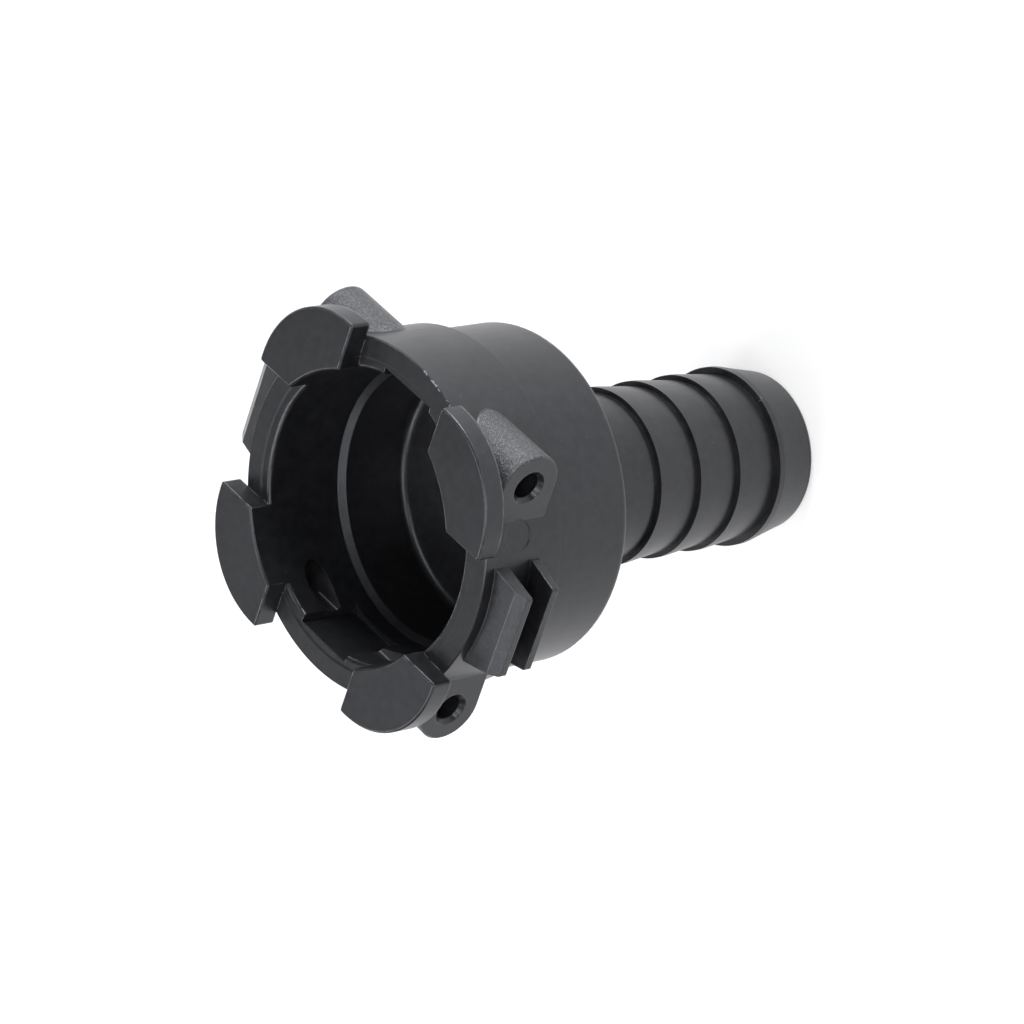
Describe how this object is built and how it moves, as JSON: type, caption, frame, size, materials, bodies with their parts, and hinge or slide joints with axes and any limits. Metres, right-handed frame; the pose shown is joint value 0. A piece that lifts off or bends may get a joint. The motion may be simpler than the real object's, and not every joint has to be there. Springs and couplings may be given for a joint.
{
  "type": "claw coupling",
  "caption": "Moulded claw coupling with a clawed socket, cross holes and guard ribs for a U-shaped locking fork, and a barbed hose tail.",
  "frame": {"origin": "centre of the hose tail's end face, on the axis of the socket", "axes": "+Z along the axis and out of the socket's mouth, X along the legs of the fork, +X towards the side with the ejector mark"},
  "size_m": [0.0622, 0.052, 0.0815],
  "materials": {
    "black_nylon": "satin moulded, spark-eroded on the fork bosses and ribs"
  },
  "bodies": {
    "root": {"coupling_body": "black_nylon"}
  },
  "joints": []
}
